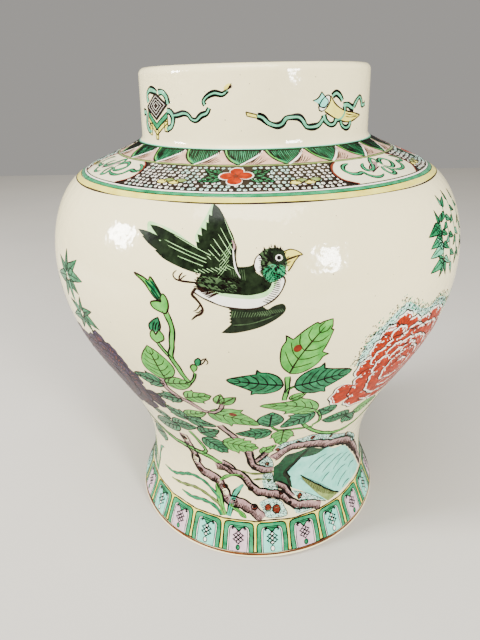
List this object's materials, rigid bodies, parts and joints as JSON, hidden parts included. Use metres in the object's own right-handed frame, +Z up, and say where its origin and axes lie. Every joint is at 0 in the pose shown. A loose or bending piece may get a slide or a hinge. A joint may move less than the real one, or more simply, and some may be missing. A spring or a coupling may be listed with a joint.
{
  "type": "porcelain baluster jar",
  "caption": "Porcelain baluster jar, high-shouldered with a short straight neck and spreading foot, glazed and painted in green, yellow, aubergine and iron-red enamels; open mouth, no cover.",
  "frame": {"origin": "centre of the foot ring's resting circle, on the surface the jar stands on", "axes": "+Z up along the jar's turning axis; -Y faces the painted front with the flying bird"},
  "size_m": [0.342, 0.342, 0.402],
  "materials": {
    "porcelain": "matt, bare on the foot ring",
    "slip": "matt, hidden in the joints",
    "glaze": "glossy clear glaze",
    "overglaze_enamels": "glossy translucent enamels, green over black drawing",
    "iron_wash": "thin satin iron wash"
  },
  "bodies": {
    "root": {"foot_section": "porcelain", "lower_body": "porcelain", "upper_body": "porcelain", "neck_collar": "porcelain", "waist_slip": "slip", "belly_slip": "slip", "neck_slip": "slip", "outer_glaze": "glaze", "inner_glaze": "glaze", "base_glaze": "glaze", "neck_line_enamel": "overglaze_enamels", "shoulder_collar_enamel": "overglaze_enamels", "foot_border_enamel": "overglaze_enamels", "foot_iron_wash": "iron_wash"}
  },
  "joints": []
}
